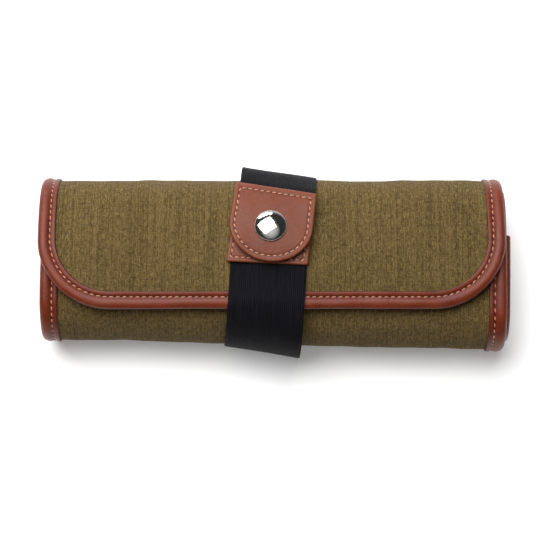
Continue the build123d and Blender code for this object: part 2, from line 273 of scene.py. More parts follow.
# ---- materials
class Nodes:
    """A material with short calls for its nodes and links."""

    def __init__(self, name):
        self.material = bpy.data.materials.new(name)
        self.material.use_nodes = True
        self.tree = self.material.node_tree
        self.shader = self.tree.nodes["Principled BSDF"]

    def node(self, kind, **settings):
        made = self.tree.nodes.new(kind)
        for key, value in settings.items():
            if key in made.inputs:
                made.inputs[key].default_value = value
            else:
                setattr(made, key, value)
        return made

    def link(self, source, target):
        self.tree.links.new(source, target)

    def set(self, **values):
        for key, value in values.items():
            self.shader.inputs[key.replace("_", " ")].default_value = value

    def uv(self, across, along):
        """The piece's own UV, in metres, scaled across and along the cloth."""
        mapping = self.node("ShaderNodeMapping", Scale=(across, along, 1))
        self.link(self.node("ShaderNodeUVMap", uv_map="cloth").outputs[0], mapping.inputs["Vector"])
        return mapping.outputs[0]

    def place(self, scale):
        """Object coordinates, scaled."""
        mapping = self.node("ShaderNodeMapping", Scale=(scale, scale, scale))
        self.link(self.node("ShaderNodeTexCoord").outputs["Object"], mapping.inputs["Vector"])
        return mapping.outputs[0]

    def cloth_noise(self, across, along, detail, rough):
        return self.noise(self.uv(across, along), detail, rough)

    def solid_noise(self, scale, detail, rough=0.55):
        return self.noise(self.place(scale), detail, rough)

    def noise(self, at, detail, rough):
        """Noise of unit scale, so its size comes from the coordinates."""
        made = self.node("ShaderNodeTexNoise", Scale=1.0, Detail=detail, Roughness=rough)
        self.link(at, made.inputs["Vector"])
        return made.outputs["Fac"]

    def ramp(self, value, stops):
        """A colour ramp from (place, colour) pairs."""
        made = self.node("ShaderNodeValToRGB")
        elements = made.color_ramp.elements
        while len(elements) < len(stops):
            elements.new(0.5)
        for element, (position, colour) in zip(elements, stops):
            element.position = position
            element.color = (*colour, 1) if len(colour) == 3 else colour
        self.link(value, made.inputs[0])
        return made.outputs[0]

    def feed(self, made, values):
        """Links or sets a node's sockets, from {socket: output or plain value}."""
        for socket, value in values.items():
            if hasattr(value, "links"):
                self.link(value, made.inputs[socket])
            else:
                made.inputs[socket].default_value = value

    def mix(self, factor, a, b):
        made = self.node("ShaderNodeMix", data_type="RGBA", blend_type="MIX")
        self.feed(made, {0: factor, 6: a, 7: b})
        return made.outputs[2]

    def amount(self, pattern, start, end):
        """An amount that follows a pattern. start and end are (pattern value, amount) pairs."""
        return self.ramp(pattern, [(place, grey(value)) for place, value in (start, end)])

    def tint(self, base, pattern, start, end, colour):
        """Mixes a colour in by a pattern."""
        return self.mix(self.amount(pattern, start, end), base, (*colour, 1))

    def math(self, operation, a, b=0.0):
        made = self.node("ShaderNodeMath", operation=operation)
        self.feed(made, {0: a, 1: b})
        return made.outputs[0]

    def attribute(self, name):
        return self.node("ShaderNodeAttribute", attribute_name=name).outputs["Fac"]

    def bump(self, height, distance, strength=1.0, below=None):
        made = self.node("ShaderNodeBump", Strength=strength, Distance=distance)
        self.link(height, made.inputs["Height"])
        if below is not None:
            self.link(below, made.inputs["Normal"])
        return made.outputs[0]

    def colour(self, source):
        self.link(source, self.shader.inputs["Base Color"])

    def relief(self, *bump):
        self.link(self.bump(*bump), self.shader.inputs["Normal"])


def grey(value):
    """A neutral colour, or an amount for a mix."""
    return (value, value, value)


def weave_height(n, across, along):
    """The height of a plain weave: threads over and under, both ways."""
    at = n.uv(1, 1)
    parts = n.node("ShaderNodeSeparateXYZ")
    wobble = n.node("ShaderNodeVectorMath", operation="ADD")
    shake = n.node("ShaderNodeTexNoise", Scale=900.0, Detail=2.0)
    n.link(at, shake.inputs["Vector"])
    soft = n.node("ShaderNodeVectorMath", operation="SCALE", Scale=0.00022)
    n.link(shake.outputs["Color"], soft.inputs[0])
    n.link(at, wobble.inputs[0])
    n.link(soft.outputs[0], wobble.inputs[1])
    n.link(wobble.outputs[0], parts.inputs[0])
    u = n.math("SINE", n.math("MULTIPLY", parts.outputs[0], math.pi / across))
    v = n.math("SINE", n.math("MULTIPLY", parts.outputs[1], math.pi / along))
    warp = n.math("ABSOLUTE", u)
    weft = n.math("ABSOLUTE", v)
    over = n.math("MULTIPLY", u, v)
    return n.math("ADD", n.math("MULTIPLY", n.math("ADD", warp, weft), 0.5), n.math("MULTIPLY", over, 0.35))


def canvas_material():
    """Waxed olive brown canvas: plain weave, thick and thin threads, and slubs that run down the case."""
    n = Nodes("canvas")
    weave = weave_height(n, 0.5 * MM, 0.5 * MM)
    slubs = n.cloth_noise(2300, 260, 2.0, 0.6)
    fine = n.cloth_noise(2500, 700, 2.0, 0.6)
    picks = n.cloth_noise(420, 2300, 2.0, 0.6)
    ends = n.cloth_noise(1500, 14, 2.0, 0.6)
    cloud = n.cloth_noise(19, 15, 4.0, 0.6)
    mottle = n.cloth_noise(520, 480, 3.0, 0.7)
    base = n.ramp(cloud, [(0.3, (0.078, 0.051, 0.0165)), (0.7, (0.096, 0.063, 0.0205))])
    base = n.tint(base, slubs, (0.49, 0), (0.68, 1), (0.23, 0.16, 0.060))
    base = n.tint(base, ends, (0.48, 0), (0.66, 0.75), (0.17, 0.118, 0.043))
    base = n.tint(base, ends, (0.34, 0.5), (0.47, 0), (0.040, 0.026, 0.009))
    base = n.tint(base, fine, (0.31, 1), (0.48, 0), (0.026, 0.0165, 0.0055))
    base = n.tint(base, picks, (0.52, 0), (0.73, 0.9), (0.20, 0.14, 0.052))
    base = n.tint(base, mottle, (0.3, 0.7), (0.48, 0), (0.030, 0.019, 0.0065))
    # Painted shade in the gaps of the weave, darker where the threads lie low.
    base = n.tint(base, weave, (0.1, 0.5), (0.62, 0), (0.020, 0.0125, 0.004))
    n.colour(base)
    height = n.math("ADD", weave, n.math("MULTIPLY", n.math("ADD", slubs, picks), 0.9))
    first = n.bump(mottle, 0.0006, 0.25)
    n.relief(height, 0.00016, 0.75, first)
    n.set(Roughness=0.92, Sheen_Weight=0.04, Sheen_Roughness=0.5, Specular_IOR_Level=0.10)
    return n.material


def lining_material():
    """Plain natural cotton."""
    n = Nodes("lining")
    weave = weave_height(n, 0.3 * MM, 0.3 * MM)
    cloud = n.cloth_noise(160, 120, 4.0, 0.6)
    base = n.ramp(cloud, [(0.3, (0.36, 0.285, 0.17)), (0.7, (0.47, 0.385, 0.245))])
    # Painted shade in the gaps of the weave, darker where the threads lie low.
    base = n.tint(base, weave, (0.1, 0.5), (0.6, 0), (0.2, 0.15, 0.085))
    n.colour(base)
    n.relief(weave, 0.0001, 0.6)
    n.set(Roughness=0.9, Sheen_Weight=0.2, Specular_IOR_Level=0.2)
    return n.material


def leather_material(name, low, high, dark, roughness):
    """Reddish brown leather: pores and cloudy dye, with painted shade in the stitched groove and at cut
    edges, and a painted highlight along the crests.
    """
    n = Nodes(name)
    cloud = n.solid_noise(150, 4.0, 0.6)
    blotch = n.solid_noise(34, 3.0, 0.5)
    pores = n.node("ShaderNodeTexVoronoi", Scale=1500.0, feature="DISTANCE_TO_EDGE")
    n.link(n.place(1), pores.inputs["Vector"])
    grain = n.solid_noise(900, 4.0, 0.65)
    dye = n.math("ADD", n.math("MULTIPLY", cloud, 0.5), n.math("MULTIPLY", blotch, 0.5))
    base = n.ramp(dye, [(0.36, low), (0.64, high)])
    base = n.tint(base, grain, (0.3, 0.45), (0.5, 0), dark)
    # Painted highlight: lighter along the crests that the mesh marks.
    base = n.mix(n.attribute("painted_highlight"), base, (high[0] * 1.5, high[1] * 1.9, high[2] * 2.1, 1))
    # Painted shade: darker in the grooves, along cut edges and under the leather, where the mesh marks them.
    base = n.mix(n.attribute("groove"), base, (*dark, 1))
    n.colour(base)
    rough = n.amount(cloud, (0.3, roughness - 0.06), (0.7, roughness + 0.08))
    n.link(rough, n.shader.inputs["Roughness"])
    cells = n.amount(pores.outputs["Distance"], (0, 0), (0.12, 1))
    first = n.bump(grain, 0.00022, 0.5)
    n.relief(cells, 0.00005, 0.5, first)
    n.set(Specular_IOR_Level=0.24)
    return n.material


def elastic_material():
    """Black ribbed elastic with fine picks across the ribs and a few lighter fibres."""
    n = Nodes("elastic")
    picks = n.cloth_noise(500, 2600, 2.0, 0.6)
    fibres = n.cloth_noise(2400, 60, 3.0, 0.6)
    base = n.ramp(fibres, [
        (0.35, (0.0016, 0.0014, 0.0024)),
        (0.60, (0.0042, 0.0036, 0.0058)),
        (0.76, (0.015, 0.013, 0.017)),
    ])
    n.colour(base)
    wave = n.node("ShaderNodeTexWave", bands_direction="Y", Scale=1.0, Distortion=0.6)
    n.link(n.uv(1, 1100), wave.inputs["Vector"])
    height = n.math("ADD", n.math("MULTIPLY", wave.outputs["Fac"], 0.6), picks)
    n.relief(height, 0.00009, 0.7)
    n.set(Roughness=0.62, Specular_IOR_Level=0.09)
    return n.material


def thread_material():
    """Twisted cream thread."""
    n = Nodes("thread")
    ply = n.node("ShaderNodeTexWave", bands_direction="DIAGONAL", Scale=900.0, Distortion=1.0)
    n.link(n.place(1), ply.inputs["Vector"])
    tone = n.solid_noise(300, 2.0)
    base = n.ramp(tone, [(0.35, (0.38, 0.165, 0.085)), (0.65, (0.50, 0.24, 0.135))])
    # Painted shade between the plies, darker where the twist lies low.
    base = n.tint(base, ply.outputs["Fac"], (0.0, 0.35), (0.5, 0), (0.2, 0.075, 0.035))
    n.colour(base)
    n.relief(ply.outputs["Fac"], 0.00008, 0.5)
    n.set(Roughness=0.6, Sheen_Weight=0.2)
    return n.material


def hole_shade_material():
    """Dark blobs at the ends of the stitches: painted shade in each needle hole."""
    n = Nodes("needle_hole_shade")
    tone = n.solid_noise(700, 2.0)
    n.colour(n.ramp(tone, [(0.3, (0.02, 0.006, 0.004)), (0.7, (0.05, 0.015, 0.008))]))
    n.set(Roughness=0.9)
    return n.material


def chrome_material():
    """Polished plated steel with faint handling marks."""
    n = Nodes("snap_metal")
    marks = n.solid_noise(400, 5.0, 0.7)
    n.link(n.amount(marks, (0.3, 0.05), (0.75, 0.13)), n.shader.inputs["Roughness"])
    n.colour(n.ramp(marks, [(0.3, (0.82, 0.80, 0.78)), (0.7, (0.9, 0.88, 0.86))]))
    n.set(Metallic=1.0)
    return n.material


CANVAS_LOOK = canvas_material()
LINING_LOOK = lining_material()
LEATHER_LOOK = leather_material(
    "leather", low=(0.108, 0.0145, 0.0042), high=(0.150, 0.0235, 0.0070), dark=(0.028, 0.004, 0.0015),
    roughness=0.32,
)
PATCH_LOOK = leather_material(
    "patch_leather", low=(0.122, 0.0255, 0.0090), high=(0.160, 0.0365, 0.0135), dark=(0.042, 0.008, 0.0035),
    roughness=0.42,
)
ELASTIC_LOOK = elastic_material()
THREAD_LOOK = thread_material()
HOLE_SHADE_LOOK = hole_shade_material()
CHROME_LOOK = chrome_material()


# ---- mesh helpers
def mesh_piece(name, points, faces, look, uv=None, values=None, body=None, slot=None):
    """A piece from points and faces. uv gives each point's (u, v), and values its named attributes."""
    mesh = bpy.data.meshes.new(name)
    faces = [tuple(int(i) for i in face) for face in faces]
    mesh.from_pydata(np.asarray(points, float).reshape(-1, 3).tolist(), [], faces)
    mesh.update()
    if uv is not None:
        layer = mesh.uv_layers.new(name="cloth")
        corners = np.empty(len(mesh.loops), int)
        mesh.loops.foreach_get("vertex_index", corners)
        layer.data.foreach_set("uv", np.asarray(uv, float).reshape(-1, 2)[corners].astype(np.float32).ravel())
    for key, value in (values or {}).items():
        layer = mesh.attributes.new(key, "FLOAT", "POINT")
        layer.data.foreach_set("value", np.asarray(value, np.float32).ravel())
    mesh.polygons.foreach_set("use_smooth", [True] * len(mesh.polygons))
    mesh.materials.append(look)
    obj = bpy.data.objects.new(name, mesh)
    bpy.context.scene.collection.objects.link(obj)
    if body:
        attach(obj, body)
    return obj


def grid_faces(rows, columns, start=0, close_columns=False, flip=False):
    """Quads of a grid of points, row by row."""
    faces = []
    last = columns if close_columns else columns - 1
    for i in range(rows - 1):
        for j in range(last):
            k = (j + 1) % columns
            quad = (start + i * columns + j, start + i * columns + k,
                    start + (i + 1) * columns + k, start + (i + 1) * columns + j)
            faces.append(quad[::-1] if flip else quad)
    return faces


def tube_faces(rows, columns):
    """Faces of a closed tube of points, with its two ends."""
    ends = [tuple(range(columns))[::-1], tuple((rows - 1) * columns + j for j in range(columns))]
    return grid_faces(rows, columns, close_columns=True) + ends


def cloth_shell(name, x, s, top, thick, look, **placed):
    """A closed layer of cloth over a grid of places on the sheet, between two depths."""
    rows, columns = x.shape
    upper, lower = place(x, s, top), place(x, s, top - thick)
    points = np.concatenate([upper.reshape(-1, 3), lower.reshape(-1, 3)])
    size = rows * columns
    faces = grid_faces(rows, columns) + grid_faces(rows, columns, size, flip=True)
    rim = list(range(columns)) + [i * columns + columns - 1 for i in range(1, rows)]
    rim += [(rows - 1) * columns + j for j in range(columns - 2, -1, -1)]
    rim += [i * columns for i in range(rows - 2, 0, -1)]
    for a, b in zip(rim, rim[1:] + rim[:1]):
        faces.append((b, a, a + size, b + size))
    uv = np.stack([x, s], -1).reshape(-1, 2)
    piece = mesh_piece(name, points, faces, look, uv=np.concatenate([uv, uv]), **placed)
    reach = 0.4 * MM
    across = place(x + reach, s, top) - place(x - reach, s, top)
    along = place(x, s + reach, top) - place(x, s - reach, top)
    out = np.cross(across, along).reshape(-1, 3)
    out /= np.linalg.norm(out, axis=1)[:, None]
    piece.data.normals_split_custom_set_from_vertices(np.concatenate([out, -out]).tolist())
    return piece


def sheet_grid(start, end, left, right, across=3.0 * MM):
    """Places of a rectangle of the sheet."""
    s = np.linspace(start, end, max(3, int((end - start) / ROW)))
    x = np.linspace(left, right, max(3, int((right - left) / across)))
    return np.meshgrid(x, s)


def flap_grid(inset, end):
    """Places of the flap with its two rounded corners, cut to a line inside its edge."""
    corner_rows, straight_rows, columns = 26, 44, 110
    radius, half = CORNER - inset, HALF_WIDTH - inset
    near = inset + radius * (1 - np.cos(np.linspace(0, math.pi / 2, corner_rows)))
    far = np.linspace(inset + radius, end, straight_rows)[1:]
    s = np.concatenate([near, far])
    short = np.sqrt(np.maximum(radius**2 - np.maximum(inset + radius - s, 0) ** 2, 0))
    width = half - radius + short
    u = np.linspace(-1, 1, columns)
    return u[None, :] * width[:, None], np.repeat(s[:, None], columns, 1)


def edge_line(points, step, square=False):
    """Evenly spaced places along a line of the sheet, with the way out of the sheet beside it.

    points is a list of (x, s) places; outwards is to the left of the way along. A square line has two
    close places at each end, which keep a smoothed piece from rounding off there."""
    close = 0.06 * MM
    p = np.asarray(points, float)
    length = np.concatenate([[0], np.cumsum(np.hypot(*np.diff(p, axis=0).T))])
    count = max(3, int(round(length[-1] / step)))
    at = np.linspace(0, length[-1], count)
    if square:
        at = np.concatenate([[0, close], at[1:-1], [length[-1] - close, length[-1]]])
    q = np.stack([np.interp(at, length, p[:, i]) for i in (0, 1)], 1)
    t = np.gradient(q, at, axis=0)
    t /= np.hypot(*t.T)[:, None]
    return q, np.stack([-t[:, 1], t[:, 0]], 1), at


# Across a binding: (outwards from the sheet's edge, height over the canvas) in mm, round its section
BINDING_SECTION = [
    (-9.0, 0.02), (-9.02, 0.75), (-8.75, 1.08), (-8.1, 1.2), (-7.1, 1.14), (-6.5, 0.86), (-6.1, 0.66),
    (-5.7, 0.84), (-5.1, 1.3), (-4.2, 1.72), (-3.1, 1.92), (-1.9, 1.82), (-0.9, 1.38), (-0.15, 0.55),
    (0.1, -0.5), (0.05, -1.7), (-0.35, -2.65), (-1.3, -3.2), (-3.0, -3.38), (-4.8, -3.3), (-5.7, -3.05),
    (-6.1, -2.85), (-6.5, -3.05), (-7.4, -3.28), (-8.5, -3.2), (-8.95, -2.95), (-9.0, -2.3),
    (-5.0, -2.24), (-1.5, -2.22), (-1.42, -1.1), (-1.5, -0.02), (-5.0, 0.0),
]
CUT_EDGE = 9.0 * MM
CHEEK = 2.6 * MM
STITCH_LINE = -6.1 * MM
SEAM_HEIGHTS = (0.72 * MM, -2.95 * MM)


def binding(name, points, body=None):
    """A leather binding folded round an edge of the sheet, with its stitched groove."""
    tip_fall = 0.33
    q, out, at = edge_line(points, ROW, square=True)
    section = np.array(BINDING_SECTION)
    across, height = section[:, 0] * MM, section[:, 1] * MM
    rows, columns = len(q), len(section)
    x = q[:, 0, None] + out[:, 0, None] * across
    s = q[:, 1, None] + out[:, 1, None] * across
    puff = 1 + 0.05 * waves(at, at * 0, len(name), 23 * MM)[:, None]
    puff = np.where(height > 1.25 * MM, puff, 1)
    points = place(x, np.clip(s, 0, SHEET.length), height * puff)
    over = np.minimum(s, 0)
    over_end = np.maximum(s - SHEET.length, 0)
    points += over[..., None] * np.array([0, 1.0, tip_fall]) + over_end[..., None] * np.array([0, 1.0, 0.0])
    # Painted shade in the stitched groove, and in a line along the cut edge where the binding meets the
    # canvas.
    groove = bell(across - STITCH_LINE, 0.45 * MM) * 0.75
    edge = bell(across + CUT_EDGE, 0.3 * MM) * 0.8
    groove = np.repeat(np.maximum(groove, edge)[None], rows, 0)
    # Painted highlight: lighter along the crest of the binding's outer roll.
    painted_highlight = bell(across + CHEEK, 1.3 * MM) * (height > 0) * 0.28
    painted_highlight = painted_highlight[None] * (0.75 + 0.25 * waves(at, at, 5, 15 * MM))[:, None]
    piece = mesh_piece(
        name, points, tube_faces(rows, columns), LEATHER_LOOK,
        values={"groove": groove, "painted_highlight": np.clip(painted_highlight, 0, 1)},
    )
    smooth = piece.modifiers.new("smooth", "SUBSURF")
    smooth.levels = smooth.render_levels = 1
    apply_modifiers(piece)
    if body:
        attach(piece, body)
    return piece


def apply_modifiers(piece):
    """Bakes a piece's modifiers into its mesh."""
    graph = bpy.context.evaluated_depsgraph_get()
    mesh = bpy.data.meshes.new_from_object(piece.evaluated_get(graph))
    piece.modifiers.clear()
    piece.data = mesh


def capsule():
    """One stitch of unit half length, along X, as points and faces: a flattened, blunt-ended roll."""
    stations, around = 9, 8
    t = np.linspace(-1, 1, stations)
    radius = np.sqrt(np.maximum(1 - np.abs(t) ** 3.2, 0.02))
    angle = np.arange(around) * math.tau / around
    points = [(a, r * math.cos(w), r * math.sin(w)) for a, r in zip(t, radius) for w in angle]
    return np.array(points), tube_faces(stations, around)


STITCH = capsule()


def stitches(name, runs, body=None, width=0.34 * MM):
    """Thread, and dark blobs for the painted shade at each needle hole. Each run gives stitch middles, ways
    along and ways out, as arrays.
    """
    length, height, lean, arching, sunk = 2.1 * MM, 0.24 * MM, 9.0, 0.12 * MM, 0.12 * MM
    hole_size = (0.36 * MM, 0.28 * MM, 0.14 * MM)
    thread, thread_faces, holes, hole_faces = [], [], [], []
    rng = np.random.default_rng(len(name) + 11)
    shape, shape_faces = STITCH
    for middles, along, out in runs:
        for c, t, n in zip(middles, along, out):
            n = n / np.linalg.norm(n)
            t = t - n * (t @ n)
            t /= np.linalg.norm(t)
            b = np.cross(n, t)
            turn = math.radians(lean + rng.normal(0, 3.0))
            t2 = t * math.cos(turn) + b * math.sin(turn)
            b2 = np.cross(n, t2)
            size = 1 + rng.normal(0, 0.05)
            arch = arching * (1 - shape[:, 0] ** 2)
            start = len(thread) * len(shape)
            thread.append(
                c + np.outer(shape[:, 0] * length / 2 * size, t2) + np.outer(shape[:, 1] * width, b2)
                + np.outer(shape[:, 2] * height + arch, n)
            )
            thread_faces += [tuple(i + start for i in f) for f in shape_faces]
            # A dark blob half sunk at each needle hole: painted shade.
            hole = c + t * STITCH_PITCH / 2 - n * sunk
            at = len(holes) * len(shape)
            holes.append(
                hole + np.outer(shape[:, 0] * hole_size[0], t) + np.outer(shape[:, 1] * hole_size[1], b)
                + np.outer(shape[:, 2] * hole_size[2], n)
            )
            hole_faces += [tuple(i + at for i in f) for f in shape_faces]
    made = [
        mesh_piece(name + "_thread", np.concatenate(thread), thread_faces, THREAD_LOOK),
        mesh_piece(name + "_hole_shade", np.concatenate(holes), hole_faces, HOLE_SHADE_LOOK),
    ]
    for piece in made:
        if body:
            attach(piece, body)
    return made


def sheet_stitches(points, height):
    """A run of stitches inside an edge of the sheet, at a height over the canvas."""
    q, out, _ = edge_line(points, 1.0 * MM)
    line = q + out * STITCH_LINE
    q2, _, _ = edge_line(line, STITCH_PITCH)
    middle = place(q2[:, 0], q2[:, 1], height)
    normal = place_normal(q2[:, 1]) * (1 if height > -CANVAS else -1)
    return middle, np.gradient(middle, axis=0), normal


# ---- camera, light and floor
def aimed(name, data, at, way):
    """A camera or light at a place, turned to look a way."""
    obj = bpy.data.objects.new(name, data)
    obj.location = at
    obj.rotation_mode = "QUATERNION"
    obj.rotation_quaternion = way.to_track_quat("-Z", "Y")
    bpy.context.scene.collection.objects.link(obj)
    return obj


def camera():
    """Looks down at the case from its lower side, as the flat lay is seen."""
    elevation, distance, width, sensor = math.radians(77), 0.95, 0.2805, 36
    aim = Vector((0.0011, -0.0067, RIGHT[1]))
    back = Vector((0, -math.cos(elevation), math.sin(elevation)))
    data = bpy.data.cameras.new("camera")
    data.sensor_width = sensor
    data.lens = sensor * distance / width
    bpy.context.scene.camera = aimed("camera", data, aim + back * distance, -back)


def area_light(name, at, aim, size, power):
    """A rectangular softbox, aimed at a point."""
    data = bpy.data.lights.new(name, "AREA")
    data.shape = "RECTANGLE"
    data.size, data.size_y = size
    data.energy = power
    aimed(name, data, at, Vector(aim) - Vector(at))


def studio():
    """A pale floor, a large soft key light from the upper left, a low light behind, and a graded sky."""
    world = bpy.data.worlds.new("studio")
    world.use_nodes = True
    tree = world.node_tree
    split = tree.nodes.new("ShaderNodeSeparateXYZ")
    sky = tree.nodes.new("ShaderNodeValToRGB")
    shades = sky.color_ramp.elements
    for position, value in ((0.16, 0.5), (0.30, 0.05), (0.80, 0.04)):
        shades.new(position).color = (value, value, value, 1)
    shades[0].color = shades[-1].color = (0.9, 0.9, 0.9, 1)
    tree.links.new(tree.nodes.new("ShaderNodeTexCoord").outputs["Generated"], split.inputs[0])
    tree.links.new(split.outputs["Z"], sky.inputs[0])
    tree.links.new(sky.outputs[0], tree.nodes["Background"].inputs[0])
    tree.nodes["Background"].inputs[1].default_value = 0.7
    bpy.context.scene.world = world
    bpy.context.scene.view_settings.view_transform = "Standard"
    centre = (0, 0, 0.02)
    area_light("key", (-0.26, 0.40, 1.05), centre, (1.15, 1.05), 24.5)
    area_light("back", (-0.35, 1.1, 0.42), centre, (0.9, 0.25), 4.5)
    mesh = bpy.data.meshes.new("floor")
    half = 3.0
    corners = [(-half, -half, 0), (half, -half, 0), (half, half, 0), (-half, half, 0)]
    mesh.from_pydata(corners, [], [(0, 1, 2, 3)])
    floor = bpy.data.objects.new("floor", mesh)
    n = Nodes("floor")
    tone = n.solid_noise(2, 2.0)
    n.colour(n.amount(tone, (0.3, 0.9), (0.7, 0.92)))
    n.set(Roughness=0.9, Specular_IOR_Level=0.1, Emission_Color=(1, 1, 1, 1), Emission_Strength=0.2)
    mesh.materials.append(n.material)
    bpy.context.scene.collection.objects.link(floor)


camera()
studio()


def blend_flap(piece):
    """Bakes a piece of the flap's placing into its mesh."""
    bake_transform(piece)


def flap_outline():
    """The flap's edge, from the +Y side down the right, along the tip and up the left."""
    half, radius = HALF_WIDTH, CORNER
    right = [(half, s) for s in np.linspace(SIDE, radius, 30)]
    turn = np.linspace(0, math.pi / 2, 24)
    right_corner = [(half - radius + radius * math.cos(a), radius - radius * math.sin(a)) for a in turn]
    left_corner = [(-x, s) for x, s in reversed(right_corner)]
    return right + right_corner + left_corner + [(-x, s) for x, s in reversed(right)]


def sheet_pieces():
    """Canvas, lining, pockets, guard and bindings, rolled up, and the flap over them."""
    inner, near_end, panel_start, panel_end = HALF_WIDTH - TURN_IN, 1.5 * MM, 8 * MM, 24 * MM
    x, s = sheet_grid(SIDE, SHEET.length - near_end, -inner, inner)
    canvas = cloth_shell("roll_canvas", x, s, 0, CANVAS, CANVAS_LOOK, body="roll", slot="canvas")
    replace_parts(canvas, "outer_canvas")
    lining = cloth_shell("roll_lining", x, s, -CANVAS, LINING, LINING_LOOK, body="roll", slot="lining")
    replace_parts(lining, "lining")

    for name, node in (("pockets", "pocket_panel"), ("guard", "tip_guard")):
        node_low, node_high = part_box(node)
        x, s = sheet_grid(
            SIDE + panel_start, SHEET.length - panel_end, node_low[0] - 1 * MM, node_high[0] - 1 * MM,
        )
        panel = cloth_shell(name, x, s, -STACK - 0.05 * MM, PANEL, LINING_LOOK, body="roll", slot="lining")
        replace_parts(panel, node)
    hem_low, hem_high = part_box("pocket_hem")
    x, s = sheet_grid(
        SIDE + panel_start, SHEET.length - panel_end, hem_low[0] - 1 * MM, hem_high[0] - 0.6 * MM,
        across=0.8 * MM,
    )
    crown = 0.25 * MM * np.cos((x - x.mean()) / (x.max() - x.min()) * math.pi)
    hem = cloth_shell(
        "pocket_edging", x, s, -STACK - PANEL - 0.02 * MM, 0.5 * MM + crown, LEATHER_LOOK,
        body="roll", slot="leather",
    )
    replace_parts(hem, "pocket_hem")

    x, s = flap_grid(TURN_IN, SIDE)
    top = cloth_shell("flap_outer", x, s, 0, CANVAS, CANVAS_LOOK, slot="canvas")
    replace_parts(top, "flap_canvas")
    blend_flap(top)
    under = cloth_shell("flap_inner", x, s, -CANVAS, LINING, LINING_LOOK, slot="lining")
    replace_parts(under, "flap_lining")
    blend_flap(under)


def binding_pieces():
    """Leather round every edge of the sheet, with its stitching."""
    outline = flap_outline()
    flap = binding("flap_edging", outline)
    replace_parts(flap, "flap_binding")
    blend_flap(flap)
    for piece in stitches("flap_seam", [sheet_stitches(outline, h) for h in SEAM_HEIGHTS]):
        blend_flap(piece)
    left, right = roll_edges()
    for name, edge, node in (
        ("left_edging", left, "left_edge_binding"),
        ("right_edging", right, "right_edge_binding"),
    ):
        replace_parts(binding(name, edge, body="roll"), node)
    stitches("roll_seam", [sheet_stitches(e, h) for e in (left, right) for h in SEAM_HEIGHTS], body="roll")
    half = HALF_WIDTH - BINDING_WIDTH
    end = [(x, SHEET.length) for x in np.linspace(half, -half, 60)]
    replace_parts(binding("inner_edging", end, body="roll"), "inner_end_binding")


def roll_edges():
    """The roll's two long edges, in the order that puts outwards on the left."""
    s = np.linspace(SIDE, SHEET.length, 200)
    left = [(-HALF_WIDTH, a) for a in s]
    right = [(HALF_WIDTH, a) for a in s[::-1]]
    return left, right


sheet_pieces()
binding_pieces()


# ---- the strap
LIFT_OFF = 44.0
TAB_UNDER = 5.0 * MM
RIBS = 38


def strap_path():
    """The elastic's middle from under the patch, round the -Y side, the back and the +Y side to the tab."""
    half = STRAP_THICK / 2
    centre = STRAP_SPAN - STRAP_RADIUS
    radius = STRAP_RADIUS - half
    landing, side_end, shoulder_start, free_run = 122, -12, 26, 8.5 * MM
    over_binding, past_tip, tip_fall = 2.25 * MM, 1.0 * MM, 0.32
    path = Path()
    y_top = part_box("leather_patch")[1][1] - 1.5 * MM
    p, n = SHEET.at(np.arange(float(s_of_y(y_top)), 13.0 * MM, -FINE))
    path.run(p + n * half, n).mark("patch")
    over = np.arange(8.5 * MM, -past_tip, -FINE)
    p, n = SHEET.at(np.maximum(over, 0))
    beyond = np.minimum(over, 0)[:, None] * np.array([[1.0, tip_fall]])
    path.run(p + n * (over_binding + half) + beyond, n).mark("tip")
    path.arc((-centre, STRAP_RADIUS), radius, landing, 180).mark("low")
    path.arc((-centre, STRAP_RADIUS), radius, 180, 270).mark("back")
    path.line((-centre, half), (centre, half), (0, -1)).mark("foot")
    path.arc((centre, STRAP_RADIUS), radius, -90, side_end).mark("side")
    path.arc((centre, STRAP_RADIUS), radius, side_end, shoulder_start).mark("shoulder")
    path.arc((centre, STRAP_RADIUS), radius, shoulder_start, LIFT_OFF)
    start = polar((centre, STRAP_RADIUS), radius, LIFT_OFF)
    way = polar((0, 0), 1, LIFT_OFF + 90)
    path.line(start, start + way * free_run, (way[1], -way[0]))
    p, n = SHEET.at(s_of_y(np.arange(32.0, 26.0, -0.25) * MM))
    return path.run(p + n * (TAB_UNDER - half), n).done(smooth=30)


STRAP = strap_path()


def strap_middle(s):
    """X of the elastic's middle along the strap, which slants across the roll."""
    marks = [STRAP.marks[k] for k in ("patch", "low", "back", "foot", "side", "shoulder")]
    middles = np.array([-0.2, -2.8, -5.5, -4.6, 1.2, 3.4, 3.4, 2.2]) * MM
    return np.interp(s, [0, *marks, STRAP.length], middles)


def strap_place(u, s, d):
    """Points of the strap. u runs from -1 to 1 across it, and d outwards from its middle.

    Where it leaves the roll at the two sides, one edge stands further out than the other."""
    far_out, far_slant, near_out, near_slant = 0.6 * MM, 3.2 * MM, 0.3 * MM, 3.1 * MM
    p, n = STRAP.at(s)
    y, z = p[..., 0] + n[..., 0] * d, p[..., 1] + n[..., 1] * d
    far = smoothstep(24 * MM, 44 * MM, y) * smoothstep(-2 * MM, 18 * MM, z)
    near = smoothstep(-26 * MM, -42 * MM, y) * smoothstep(-2 * MM, 18 * MM, z)
    y = y + far * (far_out - far_slant * u) + near * (-near_out - near_slant * u)
    x = strap_middle(s) + u * STRAP_HALF
    return np.stack([np.broadcast_to(x, y.shape), y, np.maximum(z, 0.0)], -1)


